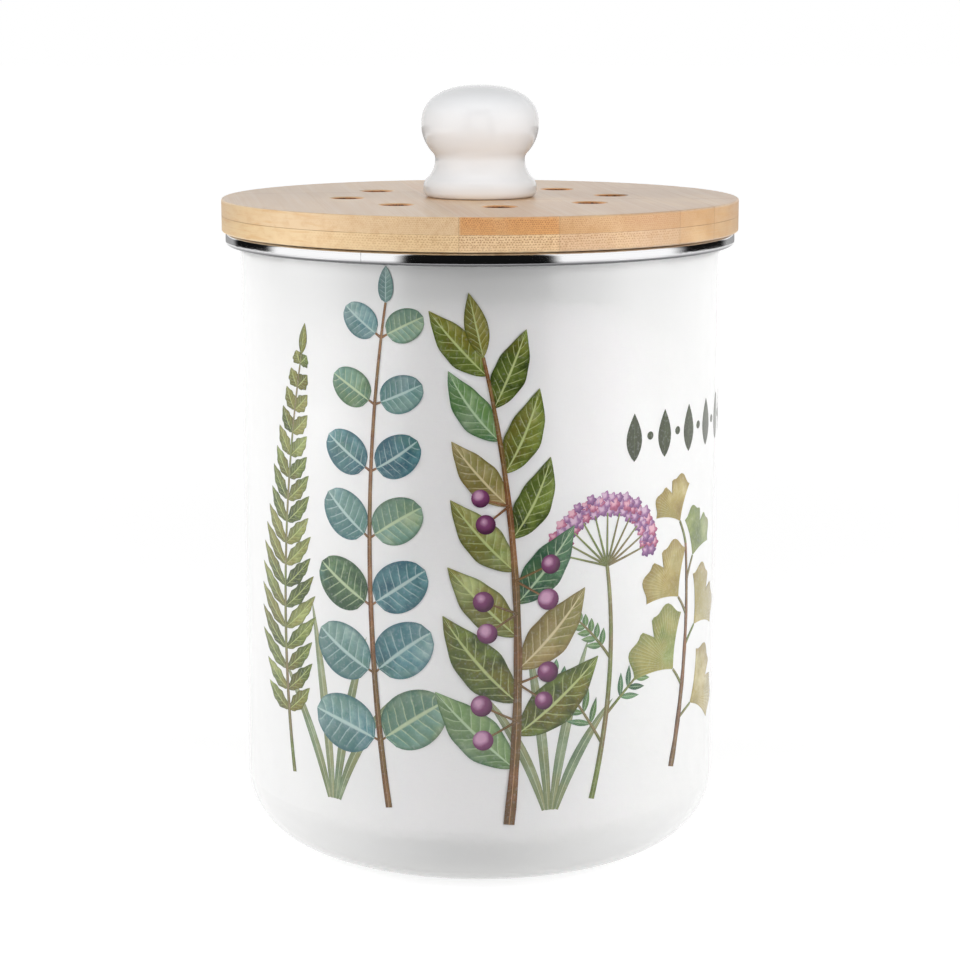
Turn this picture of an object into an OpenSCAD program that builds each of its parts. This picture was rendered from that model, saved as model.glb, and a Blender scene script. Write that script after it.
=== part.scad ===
// Counter-top compost canister: an enamelled steel pot with a rolled, steel-banded rim, a vented
// two-ply bamboo lid with a ceramic knob, a charcoal filter under the lid and a lift-out scrap bucket.
// Millimetres. +Z is up, and the origin is on the table under the middle of the base.

/* [Canister] */
// Outer diameter of the canister's wall
can_d = 157; // [140:1:180]
// Height of the canister's rim above the table
can_h = 201.6; // [180:0.1:240]
// Thickness of the enamelled sheet
sheet_t = 1.2; // [0.8:0.1:1.5]
// Outer radius where the wall turns into the base
base_round = 21.5; // [16:0.5:28]
// Diameter of the raised panel in the base
panel_d = 92; // [60:1:100]
// Height of the raised panel above the table
panel_rise = 1.6; // [0.6:0.1:3]

/* [Rim] */
// How far the rolled rim stands out from the wall
rim_out = 4.5; // [4.2:0.1:7]
// Height of the rolled rim
rim_h = 4; // [3.8:0.1:6]
// Corner radius of the rolled rim
rim_round = 0.9; // [0.8:0.1:1.7]
// Thickness of the steel band that covers the roll
band_t = 0.4; // [0.3:0.05:0.6]

/* [Lid] */
// How far the lid stands out past the rim
lid_over = 1.2; // [0.5:0.1:4]
// Thickness of the upper bamboo ply
top_ply_t = 5.25; // [4:0.05:8]
// Thickness of the lower bamboo ply
low_ply_t = 5.25; // [4.6:0.05:8]
// Rounding of the lid's upper and lower edges
lid_round = 0.6; // [0.4:0.1:2]
// Gap between the lid and the rim it sits on
lid_gap = 0.3; // [0.2:0.05:0.5]
// Number of vent holes
vent_count = 8; // [4:1:10]
// Diameter of a vent hole
vent_d = 11; // [6:0.5:14]
// Diameter of the circle that the vent holes lie on
vent_circle_d = 87; // [70:1:96]
// Turn of the first vent hole from the +X axis
vent_turn = 8; // [0:1:45]
// Width of the chamfer on each vent hole
vent_chamfer = 0.4; // [0.2:0.1:0.8]

/* [Plug and seal] */
// Depth that the bamboo plug ring reaches into the canister
plug_h = 12; // [10:0.5:16]
// Gap between the plug ring and the canister's wall
plug_gap = 2.4; // [1.8:0.1:3.5]
// Radial width of the plug ring
plug_w = 12.4; // [11.8:0.2:16]
// Height of the seal's groove
groove_h = 4.6; // [4:0.1:6]
// Depth of the seal's groove
groove_d = 2.4; // [1.5:0.1:3]
// Gap between the seal's lips and the canister's wall
seal_gap = 0.3; // [0.2:0.05:0.5]
// Thickness of one seal lip
lip_t = 1.2; // [0.8:0.1:1.6]

/* [Knob] */
// Diameter of the knob's ball
knob_d = 38.3; // [34:0.1:44]
// Height of the knob
knob_h = 36.1; // [34:0.1:42]
// Height of the ball's widest line
knob_wide_z = 23.6; // [22:0.1:26]
// Diameter of the knob's neck
knob_neck_d = 29.2; // [26:0.1:31]
// Diameter of the knob's foot
knob_foot_d = 37; // [34:0.1:42]
// Depth of the socket for the threaded insert
socket_h = 15; // [14:0.5:18]
// Diameter of the brass threaded insert
insert_d = 9.8; // [8:0.1:12]
// Length of the brass threaded insert
insert_h = 14; // [10:0.5:14]

/* [Fasteners] */
// Thread diameter of the knob's screw
knob_screw_d = 4; // [3:0.5:5]
// Length of the knob's screw under its head
knob_screw_len = 20; // [16:1:20]
// Diameter of the knob screw's head
knob_head_d = 7.6; // [7:0.1:9]
// Height of the knob screw's head
knob_head_h = 2.6; // [2:0.1:2.8]
// Diameter of the washer under that head
washer_d = 12; // [10:0.5:14]
// Thickness of that washer
washer_t = 1; // [0.5:0.1:1.2]
// Depth of the pocket for the head and the washer
pocket_h = 4; // [3.8:0.1:4.4]
// Number of screws that hold the filter holder
holder_screw_count = 4; // [3:1:6]
// Shank diameter of those screws
holder_screw_d = 2.9; // [2.2:0.1:3.5]
// Length of those screws under their heads
holder_screw_len = 9; // [7:0.5:10]

/* [Filter] */
// Width of the holder's flange under the plug ring
flange_w = 11; // [10.4:0.2:11.6]
// Thickness of the holder's flange and bayonet ledges
flange_t = 2; // [1.6:0.1:3]
// Thickness of the holder's round wall
holder_wall_t = 2; // [1.5:0.1:3]
// Number of bayonet ledges and cover tabs
bayonet_count = 4; // [3:1:5]
// Depth of a bayonet ledge, from the holder's wall inwards
ledge_w = 2.6; // [2:0.1:4]
// Thickness of a cover tab
tab_t = 2; // [1.5:0.1:3]
// Running gap around the cover
cover_gap = 0.3; // [0.2:0.05:0.5]
// Height of the cover's rim below the tabs
cover_drop = 3.6; // [3:0.1:6]
// Radial width of the cover's rim and of its inner ring
cover_rim_w = 3; // [2:0.1:4]
// Thickness of the cover's grille
grille_t = 2; // [1.5:0.1:3]
// Number of spokes in the grille
spoke_count = 12; // [8:1:16]
// Width of a spoke
spoke_w = 2.4; // [1.5:0.1:4]
// Thickness of the charcoal pad
pad_t = 7; // [5:0.5:8]
// Length of the finger bar under the cover
bar_len = 58; // [40:1:80]
// Height of the finger bar under the grille
bar_h = 8; // [6:0.5:9]
// Thickness of the finger bar
bar_t = 4; // [3:0.5:6]

/* [Scrap bucket] */
// Gap between the bucket's lip and the canister's wall
bucket_gap = 2.1; // [1:0.1:3]
// How far the bucket's lip stands out from its wall
bucket_lip = 2.7; // [2:0.1:4]
// Height of the bucket's lip
bucket_lip_h = 3; // [2:0.1:5]
// Wall and floor thickness of the bucket
bucket_t = 1.8; // [1.2:0.1:2.5]
// How much narrower the bucket's base is than its top, on the radius
bucket_taper = 4.5; // [2:0.5:6]
// Outer radius where the bucket's wall turns into its base
bucket_round = 12; // [9:0.5:14]
// Gap between the bucket's lip and the finger bar under the lid
bucket_room = 2.5; // [2:0.5:20]
// Width of a lifting tab on the bucket
tab_w = 44; // [30:1:60]
// Height of a lifting tab above the bucket's lip
tab_h = 8; // [6:0.5:9]
// Rest gap between the bucket and the canister's floor
floor_gap = 0.3; // [0.2:0.05:0.5]

/* [Hidden] */
$fn = 96;

cut = 1;             // extra reach of a tool that cuts through a face
fit = 0.05;          // radial gap of pieces that are pushed or screwed together

// Canister and rim
can_r = can_d / 2;
mouth_r = can_r - sheet_t;
rim_r = can_r + rim_out;
curl_slot = 0.6;     // opening that stays between the curled edge and the wall

// Lid, from the rim upwards
lid_r = rim_r + lid_over;
lid_z = can_h + lid_gap;
ply_z = lid_z + low_ply_t;
lid_top_z = ply_z + top_ply_t;
knob_hole_r = knob_screw_d / 2 + 0.25;

// Plug ring, seal and filter, from the lid downwards
plug_r = mouth_r - plug_gap;
plug_in_r = plug_r - plug_w;
plug_z = lid_z - plug_h;
groove_z = plug_z + (plug_h - groove_h) / 2;
lip_r = lip_t / 2;
seal_r = mouth_r - seal_gap;
holder_r = plug_in_r - cover_gap;
bore_r = holder_r - holder_wall_t;
flange_r = plug_in_r + flange_w;
screw_circle_r = plug_in_r + plug_w / 2;
holder_head_r = holder_screw_d * 0.95;
holder_head_h = holder_screw_d * 0.55;

// Bayonet: ledges and gaps share one pitch, and the cover turns from a ledge's middle to a gap's
pitch_a = 360 / bayonet_count;
ledge_a = pitch_a * 0.56;
tab_a = pitch_a * 0.36;
stop_a = 3;
cover_r = bore_r - ledge_w - cover_gap;
tab_z = plug_z + cover_gap;
cover_z = tab_z - cover_drop;
cup_r = cover_r - cover_rim_w;
pad_r = cup_r - cover_gap;
pad_z = cover_z + grille_t;
bar_z = cover_z - bar_h;

// Knob: an almost elliptical top, a round underside, a small crease, a hollow flare and a foot.
// Each arc runs into the next without a corner, so centres and the flare's radius are worked out.
knob_r = knob_d / 2;
knob_power = 2.35;   // 2 would make the top of the ball an ellipse
under_r = 13.4;      // radius of the ball's underside
crease_r = 3;        // radius of the crease above the neck
foot_z = 3.2;        // height of the foot's widest line
foot_edge_r = 2.2;   // radius of the foot's lower edge
foot_r = 4;          // radius of the foot's upper edge
under_x = knob_r - under_r;
neck_x = knob_neck_d / 2;
crease_dx = neck_x + crease_r - under_x;
neck_z = knob_wide_z - sqrt(pow(under_r + crease_r, 2) - pow(crease_dx, 2));
under_a = atan2(neck_z - knob_wide_z, crease_dx);
foot_x = knob_foot_d / 2 - foot_r;
flare_r = (pow(neck_x - foot_x, 2) + pow(neck_z - foot_z, 2) - pow(foot_r, 2))
    / (2 * (foot_r + foot_x - neck_x));
flare_a = atan2(foot_z - neck_z, foot_x - neck_x - flare_r);

// Bucket
bucket_z = panel_rise + sheet_t + floor_gap;
bucket_top_z = bar_z - bucket_room;
bucket_lip_r = mouth_r - bucket_gap;
bucket_r = bucket_lip_r - bucket_lip;
bucket_base_r = bucket_r - bucket_taper;

// Points of an arc about c, from angle a to angle b
function arc(c, r, a, b, steps = 12) =
    [for (i = [0:steps]) c + r * [cos(a + (b - a) * i / steps), sin(a + (b - a) * i / steps)]];

// Half section of a pot: a flat base, one rounded lower corner and a straight or tapered side
module pot_section(base_r, top_r, z0, z1, corner_r) {
    polygon([[0, z0], [base_r - corner_r, z0], [base_r, z0 + corner_r], [top_r, z1], [0, z1]]);
    translate([base_r - corner_r, z0 + corner_r]) circle(r = corner_r);
}

// Rectangle with four round corners
module round_box_2d(x0, z0, x1, z1, r) {
    translate([x0 + r, z0]) square([x1 - x0 - 2 * r, z1 - z0]);
    translate([x0, z0 + r]) square([x1 - x0, z1 - z0 - 2 * r]);
    for (x = [x0 + r, x1 - r], z = [z0 + r, z1 - r])
        translate([x, z]) circle(r = r);
}

// Flat ring between two radii
module ring(r_in, r_out, z0, z1) {
    translate([0, 0, z0]) difference() {
        cylinder(r = r_out, h = z1 - z0);
        translate([0, 0, -cut]) cylinder(r = r_in, h = z1 - z0 + 2 * cut);
    }
}

// Ring segment centred on angle a
module ring_segment(r_in, r_out, z0, z1, a, span) {
    rotate([0, 0, a - span / 2]) translate([0, 0, z0])
        rotate_extrude(angle = span)
            translate([r_in, 0]) square([r_out - r_in, z1 - z0]);
}

// The steel sheet curled outwards at the mouth, as a half section
module curl_section() {
    difference() {
        round_box_2d(mouth_r, can_h - rim_h + band_t, rim_r - band_t, can_h - band_t,
            rim_round - band_t);
        translate([can_r, can_h - rim_h + band_t + sheet_t * 0.8])
            square([rim_out - band_t - sheet_t * 0.8, rim_h - 2 * band_t - sheet_t * 1.6]);
        translate([can_r, can_h - rim_h]) square([curl_slot, rim_h / 2]);
    }
}

module canister() {
    color("white") rotate_extrude() difference() {
        union() {
            difference() {
                pot_section(can_r, can_r, 0, can_h - rim_h / 2, base_round);
                pot_section(mouth_r, mouth_r, sheet_t, can_h + cut, base_round - sheet_t);
            }
            difference() {
                curl_section();
                square([mouth_r, can_h]);
            }
            square([panel_d / 2 + sheet_t, panel_rise + sheet_t]);
        }
        translate([0, -cut]) square([panel_d / 2, panel_rise + cut]);
        translate([-can_r, -cut]) square([can_r, can_h]);
    }
}

module rim_band() {
    color("silver") rotate_extrude() difference() {
        round_box_2d(mouth_r, can_h - rim_h, rim_r, can_h, rim_round);
        round_box_2d(mouth_r, can_h - rim_h + band_t, rim_r - band_t, can_h - band_t,
            rim_round - band_t);
        translate([0, can_h - rim_h]) square([mouth_r + rim_round, rim_h + cut]);
        translate([0, can_h - rim_h - cut]) square([can_r + curl_slot, cut + band_t * 2]);
    }
}

// Places its children at every vent hole
module at_vents() {
    for (i = [0:vent_count - 1])
        rotate([0, 0, vent_turn + 360 * i / vent_count])
            translate([vent_circle_d / 2, 0, 0]) children();
}

// One bamboo disc, with one rounded edge
module ply(z0, z1, round_top) {
    corner_z = round_top ? z1 - lid_round : z0 + lid_round;
    translate([0, 0, z0]) cylinder(r = lid_r - lid_round, h = z1 - z0);
    translate([0, 0, round_top ? z0 : corner_z]) cylinder(r = lid_r, h = z1 - z0 - lid_round);
    rotate_extrude() translate([lid_r - lid_round, corner_z]) circle(r = lid_round);
}

module lid_top_ply() {
    color("burlywood") difference() {
        ply(ply_z, lid_top_z, true);
        at_vents() {
            translate([0, 0, ply_z - cut]) cylinder(d = vent_d, h = top_ply_t + 2 * cut);
            translate([0, 0, lid_top_z - vent_chamfer])
                cylinder(d1 = vent_d, d2 = vent_d + 4 * vent_chamfer, h = 2 * vent_chamfer);
        }
        translate([0, 0, ply_z - cut]) cylinder(r = knob_hole_r, h = top_ply_t + 2 * cut);
    }
}

module lid_bottom_ply() {
    color("wheat") difference() {
        ply(lid_z, ply_z, false);
        at_vents() translate([0, 0, lid_z - cut]) cylinder(d = vent_d, h = low_ply_t + 2 * cut);
        translate([0, 0, lid_z - cut]) cylinder(r = knob_hole_r, h = low_ply_t + 2 * cut);
        translate([0, 0, lid_z - cut]) cylinder(d = washer_d + 1, h = pocket_h + cut);
    }
}

// Places its children at every screw of the filter holder
module at_holder_screws() {
    for (i = [0:holder_screw_count - 1])
        rotate([0, 0, 360 * (i + 0.5) / holder_screw_count])
            translate([screw_circle_r, 0, 0]) children();
}

module lid_plug_ring() {
    color("burlywood") difference() {
        ring(plug_in_r, plug_r, plug_z, lid_z);
        ring(plug_r - groove_d, plug_r + cut, groove_z, groove_z + groove_h);
        at_holder_screws() translate([0, 0, plug_z - cut])
            cylinder(d = holder_screw_d + 2 * fit, h = holder_screw_len - flange_t + 0.5 + cut);
    }
}

module lid_seal() {
    lips = [groove_z + lip_r, groove_z + groove_h - lip_r];
    color("whitesmoke") rotate_extrude() {
        translate([plug_r - groove_d, groove_z]) square([groove_d, groove_h]);
        for (z = lips) {
            translate([plug_r - fit, z - lip_r]) square([seal_r - lip_r - plug_r + fit, lip_t]);
            translate([seal_r - lip_r, z]) circle(r = lip_r);
        }
    }
}

// Half outline of the knob, from the foot round to the top of the ball
function knob_outline() = concat(
    [[0, 0]],
    arc([knob_foot_d / 2 - foot_edge_r, foot_edge_r], foot_edge_r, -90, 0, 6),
    arc([foot_x, foot_z], foot_r, 0, flare_a + 180, 6),
    arc([neck_x + flare_r, neck_z], flare_r, flare_a, -180),
    arc([neck_x + crease_r, neck_z], crease_r, 180, under_a + 180, 6),
    arc([under_x, knob_wide_z], under_r, under_a, 0, 16),
    [for (i = [1:20]) let (a = 90 * i / 20)
        [knob_r * pow(cos(a), 2 / knob_power),
        knob_wide_z + (knob_h - knob_wide_z) * pow(sin(a), 2 / knob_power)]]);

module knob() {
    color("white") translate([0, 0, lid_top_z]) difference() {
        rotate_extrude() polygon(knob_outline());
        translate([0, 0, -cut]) cylinder(d = insert_d + 2 * fit, h = socket_h + cut);
    }
}

module knob_insert() {
    color("goldenrod")
        ring(knob_screw_d / 2 + fit, insert_d / 2, lid_top_z, lid_top_z + insert_h);
}

module knob_washer() {
    color("silver")
        ring(knob_hole_r, washer_d / 2, lid_z + pocket_h - washer_t, lid_z + pocket_h);
}

module knob_screw() {
    head_z = lid_z + pocket_h - washer_t - knob_head_h;
    color("silver") difference() {
        union() {
            translate([0, 0, head_z]) cylinder(d = knob_head_d, h = knob_head_h);
            translate([0, 0, head_z]) cylinder(d = knob_screw_d, h = knob_head_h + knob_screw_len);
        }
        for (a = [0, 90]) rotate([0, 0, a]) translate([-knob_head_d / 4, -0.5, head_z - cut])
            cube([knob_head_d / 2, 1, knob_head_h / 2 + cut]);
    }
}

module filter_holder() {
    color("gainsboro") {
        difference() {
            ring(bore_r, flange_r, plug_z - flange_t, plug_z);
            at_holder_screws() translate([0, 0, plug_z - flange_t - cut])
                cylinder(d = holder_screw_d + 4 * fit, h = flange_t + 2 * cut);
        }
        ring(bore_r, holder_r, plug_z - fit, lid_z - cover_gap);
        for (i = [0:bayonet_count - 1]) {
            ring_segment(bore_r - ledge_w, bore_r + fit, plug_z - flange_t, plug_z,
                i * pitch_a, ledge_a);
            ring_segment(bore_r - ledge_w, bore_r + fit, plug_z - fit, tab_z + tab_t,
                i * pitch_a - (ledge_a - stop_a) / 2, stop_a);
        }
    }
}

module filter_holder_screws() {
    head_z = plug_z - flange_t - holder_head_h;
    color("silver") at_holder_screws() {
        difference() {
            translate([0, 0, head_z]) cylinder(r = holder_head_r, h = holder_head_h);
            translate([-holder_head_r, -0.35, head_z - cut])
                cube([2 * holder_head_r, 0.7, holder_head_h / 2 + cut]);
        }
        translate([0, 0, head_z + holder_head_h / 2])
            cylinder(d = holder_screw_d, h = holder_head_h / 2 + holder_screw_len);
    }
}

module filter_cover() {
    color("gainsboro") {
        ring(cup_r, cover_r, cover_z, tab_z + tab_t);
        ring(cup_r / 2 - cover_rim_w / 2, cup_r / 2 + cover_rim_w / 2, cover_z, pad_z);
        translate([0, 0, cover_z]) cylinder(r = bar_t * 1.5, h = grille_t);
        for (i = [0:spoke_count - 1]) rotate([0, 0, 360 * i / spoke_count])
            translate([0, -spoke_w / 2, cover_z]) cube([cup_r + fit, spoke_w, grille_t]);
        for (i = [0:bayonet_count - 1])
            ring_segment(cover_r - fit, bore_r - cover_gap, tab_z, tab_z + tab_t,
                i * pitch_a, tab_a);
        translate([-bar_len / 2, -bar_t / 2, bar_z]) cube([bar_len, bar_t, bar_h + fit]);
    }
}

module charcoal_filter() {
    color("dimgray") translate([0, 0, pad_z]) cylinder(r = pad_r, h = pad_t);
}

// Two curved tabs that stand up from the bucket's lip, one on each side
module lifting_tabs() {
    corner_r = tab_h * 0.6;
    intersection() {
        ring(bucket_r - bucket_t * 0.85, bucket_r, bucket_top_z - bucket_lip_h / 2,
            bucket_top_z + tab_h);
        translate([-can_r, 0, 0]) rotate([90, 0, 90]) linear_extrude(height = can_d)
            round_box_2d(-tab_w / 2, bucket_top_z - tab_h, tab_w / 2, bucket_top_z + tab_h,
                corner_r);
    }
}

module scrap_bucket() {
    color("honeydew") {
        rotate_extrude() difference() {
            union() {
                pot_section(bucket_base_r, bucket_r, bucket_z, bucket_top_z, bucket_round);
                round_box_2d(bucket_r - bucket_t, bucket_top_z - bucket_lip_h, bucket_lip_r,
                    bucket_top_z, bucket_lip_h * 0.3);
            }
            pot_section(bucket_base_r - bucket_t, bucket_r - bucket_t, bucket_z + bucket_t,
                bucket_top_z + cut, bucket_round - bucket_t);
            translate([-can_r, 0]) square([can_r, can_h]);
        }
        lifting_tabs();
    }
}

canister();
rim_band();
lid_top_ply();
lid_bottom_ply();
lid_plug_ring();
lid_seal();
knob();
knob_insert();
knob_washer();
knob_screw();
filter_holder();
filter_holder_screws();
filter_cover();
charcoal_filter();
scrap_bucket();
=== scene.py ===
import math
import random

import bpy
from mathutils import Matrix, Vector


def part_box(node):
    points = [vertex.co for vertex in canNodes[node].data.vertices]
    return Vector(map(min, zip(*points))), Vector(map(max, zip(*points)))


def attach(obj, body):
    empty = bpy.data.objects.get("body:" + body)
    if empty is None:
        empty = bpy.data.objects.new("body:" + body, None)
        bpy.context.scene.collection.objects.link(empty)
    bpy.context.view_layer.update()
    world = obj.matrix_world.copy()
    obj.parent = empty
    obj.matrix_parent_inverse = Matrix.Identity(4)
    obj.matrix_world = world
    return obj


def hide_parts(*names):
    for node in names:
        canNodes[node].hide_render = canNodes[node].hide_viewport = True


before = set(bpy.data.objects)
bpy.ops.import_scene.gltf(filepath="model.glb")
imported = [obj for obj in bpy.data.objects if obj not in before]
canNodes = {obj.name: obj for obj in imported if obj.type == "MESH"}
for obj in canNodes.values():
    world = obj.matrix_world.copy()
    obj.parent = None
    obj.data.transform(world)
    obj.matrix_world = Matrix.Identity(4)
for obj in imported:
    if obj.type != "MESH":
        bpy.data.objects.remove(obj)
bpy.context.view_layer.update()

scene = bpy.context.scene
print("frame loaded:", len(canNodes), "nodes")


def srgb(red, green, blue):
    # 0-255 as a screen shows it, to Blender's linear colour
    def linear(value):
        value = value / 255
        return value / 12.92 if value <= 0.04045 else ((value + 0.055) / 1.055) ** 2.4
    return (linear(red), linear(green), linear(blue), 1)


def grey(level):
    return (level, level, level, 1)


def feed(tree, socket, value):
    if isinstance(value, bpy.types.NodeSocket):
        tree.links.new(value, socket)
    else:
        socket.default_value = value


def wire(tree, node, **inputs):
    # an underscore in an input's name stands for a space
    for name, value in inputs.items():
        feed(tree, node.inputs[name.replace("_", " ")], value)
    return node


def addNode(tree, kind, **inputs):
    return wire(tree, tree.nodes.new(kind), **inputs)


def newMaterial(name, **settings):
    material = bpy.data.materials.new(name)
    material.use_nodes = True
    tree = material.node_tree
    return material, tree, wire(tree, tree.nodes["Principled BSDF"], **settings)


def coords(tree, kind="Object", turn=0, scale=(1, 1, 1)):
    source = addNode(tree, "ShaderNodeTexCoord").outputs[kind]
    rotation = (0, 0, math.radians(turn))
    mapping = addNode(tree, "ShaderNodeMapping", Vector=source, Rotation=rotation, Scale=scale)
    return mapping.outputs["Vector"]


def split(tree, vector):
    node = addNode(tree, "ShaderNodeSeparateXYZ", Vector=vector)
    return node.outputs["X"], node.outputs["Y"], node.outputs["Z"]


def joinUp(tree, x, y, z):
    return addNode(tree, "ShaderNodeCombineXYZ", X=x, Y=y, Z=z).outputs[0]


def calc(tree, operation, first, second=0.0, third=0.0):
    node = addNode(tree, "ShaderNodeMath")
    node.operation = operation
    for index, value in enumerate((first, second, third)):
        feed(tree, node.inputs[index], value)
    return node.outputs[0]


def vectorCalc(tree, operation, first, second=(0, 0, 0)):
    # for the operations that give a plain number
    node = addNode(tree, "ShaderNodeVectorMath")
    node.operation = operation
    feed(tree, node.inputs[0], first)
    feed(tree, node.inputs[1], second)
    return node.outputs["Value"]


def fade(tree, value, low, high, outLow=0.0, outHigh=1.0):
    # smooth step from outLow to outHigh while value goes from low to high
    node = addNode(tree, "ShaderNodeMapRange")
    node.interpolation_type = "SMOOTHSTEP"
    for index, number in enumerate((value, low, high, outLow, outHigh)):
        feed(tree, node.inputs[index], number)
    return node.outputs[0]


def noise(tree, vector, scale, detail=2.0, roughness=0.5):
    node = addNode(tree, "ShaderNodeTexNoise", Vector=vector, Scale=scale, Detail=detail)
    return wire(tree, node, Roughness=roughness).outputs["Fac"]


def ramp(tree, value, stops):
    node = addNode(tree, "ShaderNodeValToRGB")
    elements = node.color_ramp.elements
    while len(elements) < len(stops):
        elements.new(0.5)
    for element, (place, colour) in zip(elements, stops):
        element.position = place
        element.color = colour
    feed(tree, node.inputs[0], value)
    return node.outputs["Color"]


def blendColour(tree, amount, under, over):
    node = addNode(tree, "ShaderNodeMix")
    node.data_type = "RGBA"
    feed(tree, node.inputs["Factor"], amount)
    feed(tree, node.inputs[6], under)  # 6, 7 and output 2 are the node's colour sockets
    feed(tree, node.inputs[7], over)
    return node.outputs[2]


def bump(tree, height, depth, under=None):
    node = addNode(tree, "ShaderNodeBump", Distance=depth, Height=height)
    if under is not None:
        feed(tree, node.inputs["Normal"], under)
    return node.outputs[0]


def emptyTree(owner):
    owner.use_nodes = True
    owner.node_tree.nodes.clear()
    return owner.node_tree


def mixOut(tree, amount, first, second, output="ShaderNodeOutputMaterial"):
    # the end of a tree: the first shader where amount is 0, the second where it is 1
    mix = addNode(tree, "ShaderNodeMixShader")
    for index, value in enumerate((amount, first.outputs[0], second.outputs[0])):
        feed(tree, mix.inputs[index], value)
    feed(tree, addNode(tree, output).inputs[0], mix.outputs[0])


def seenRays(tree):
    # 1 for what the camera, metal and glass see
    path = addNode(tree, "ShaderNodeLightPath").outputs
    seen = calc(tree, "MAXIMUM", path["Is Camera Ray"], path["Is Glossy Ray"])
    return calc(tree, "MAXIMUM", seen, path["Is Transmission Ray"])


def onCircle(azimuth, away, height):
    # azimuth 0 is the camera's side, plus is towards +X
    turn = math.radians(azimuth)
    return Vector((away * math.sin(turn), -away * math.cos(turn), height))


def between(first, second, share):
    return first + (second - first) * share


camera = {"place": (0, -0.8219, 0.27187), "tilt": 79.404, "lens": 93.945, "sensor": 36}

bpy.ops.object.select_all(action="DESELECT")
bpy.ops.object.camera_add(location=camera["place"], rotation=(math.radians(camera["tilt"]), 0, 0))
shotCamera = bpy.context.object
shotCamera.data.lens = camera["lens"]
shotCamera.data.sensor_width = camera["sensor"]
scene.camera = shotCamera
scene.view_settings.view_transform = "Standard"

# a lamp with "lights" reaches only that group of pieces, and "spread" narrows its beam, in degrees
lampUsual = {"azimuth": 0, "away": 1.0, "spread": 180, "lights": ""}
tallBox = {"height": 0.25, "size": (0.5, 1.0)}
lamps = {
    "boxLeft": {**tallBox, "azimuth": -76, "power": 10.2, "lights": "notKnob"},
    "boxRight": {**tallBox, "azimuth": 73, "power": 10.3, "lights": "notKnob"},
    "knobLeft": {**tallBox, "azimuth": -74, "power": 4.6, "lights": "knob"},
    "knobRight": {**tallBox, "azimuth": 70, "power": 4.6, "lights": "knob"},
    "boxTop": {"height": 1.05, "away": 0.34, "size": (0.7, 0.4), "power": 2.2},
    "boxRim": {"height": 1.1, "away": 0.3, "size": (0.04, 0.3), "power": 0.125, "spread": 20,
               "lights": "pot"},
    "boxLid": {"height": 0.18, "away": 1.1, "size": (0.8, 0.3), "power": 3.5, "lights": "lid"},
    "boxKnob": {"height": 0.66, "size": (0.5, 0.3), "power": 1.5, "lights": "knob"},
    "knobBack": {"azimuth": 180, "height": 0.50, "size": (0.5, 0.3), "power": 3.3, "lights": "knob"},
    "potBack": {"azimuth": 180, "height": 0.45, "size": (0.7, 0.5), "power": 6.2, "lights": "pot"},
    "lidBack": {"azimuth": 180, "height": 0.07, "away": 1.1, "size": (0.8, 0.2), "power": 7.0,
                "lights": "lid"},
    "knobLow": {"height": 0.36, "size": (0.5, 0.2), "power": 1.9, "lights": "knob"},
}
aimHeight = 0.12
litBy = {group: bpy.data.collections.new("lit_" + group) for group in ("pot", "lid", "knob", "notKnob")}

for name, own in lamps.items():
    lamp = {**lampUsual, **own}
    place = onCircle(lamp["azimuth"], lamp["away"], lamp["height"])
    aim = Vector((0, 0, aimHeight)) - place
    bpy.ops.object.light_add(type="AREA", location=place, rotation=aim.to_track_quat("-Z", "Y").to_euler())
    box = bpy.context.object
    box.name = name
    box.data.shape = "RECTANGLE"
    box.data.size, box.data.size_y = lamp["size"]
    box.data.energy = lamp["power"]
    box.data.spread = math.radians(lamp["spread"])
    box.visible_camera = False
    box.visible_glossy = False
    if lamp["lights"]:
        box.light_linking.receiver_collection = litBy[lamp["lights"]]

# what the camera, metal and glass see is white; the rest of the room is dimmer
roomLight = 0.05
world = bpy.data.worlds.new("studio")
scene.world = world
tree = emptyTree(world)
dimRoom = addNode(tree, "ShaderNodeBackground", Color=grey(1), Strength=roomLight)
whiteRoom = addNode(tree, "ShaderNodeBackground", Color=grey(1), Strength=1.0)
mixOut(tree, seenRays(tree), dimRoom, whiteRoom, "ShaderNodeOutputWorld")

# the floor gives light back as plain grey, and is seen as white with a soft shadow; its glow is painted
# light, weaker near the pot and full further out, where the lamps' light falls off
floorLook = {"size": 24, "grey": 0.83, "shadowGrey": 0.34, "glow": (0.84, 1.0), "glowReach": (0.22, 1.3)}

bpy.ops.mesh.primitive_plane_add(size=floorLook["size"], location=(0, 0, 0))
floor = bpy.context.object
floor.name = "floor"
floorPaint = bpy.data.materials.new("floorPaint")
tree = emptyTree(floorPaint)
plain = addNode(tree, "ShaderNodeBsdfDiffuse", Color=grey(floorLook["grey"]))
fromPot = vectorCalc(tree, "LENGTH", addNode(tree, "ShaderNodeTexCoord").outputs["Object"])
rise = fade(tree, fromPot, *floorLook["glowReach"], *floorLook["glow"])
glow = addNode(tree, "ShaderNodeEmission", Strength=rise)
shade = addNode(tree, "ShaderNodeBsdfDiffuse", Color=grey(floorLook["shadowGrey"]))
seen = addNode(tree, "ShaderNodeAddShader")
feed(tree, seen.inputs[0], glow.outputs[0])
feed(tree, seen.inputs[1], shade.outputs[0])
mixOut(tree, seenRays(tree), plain, seen)
floor.data.materials.append(floorPaint)

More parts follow.
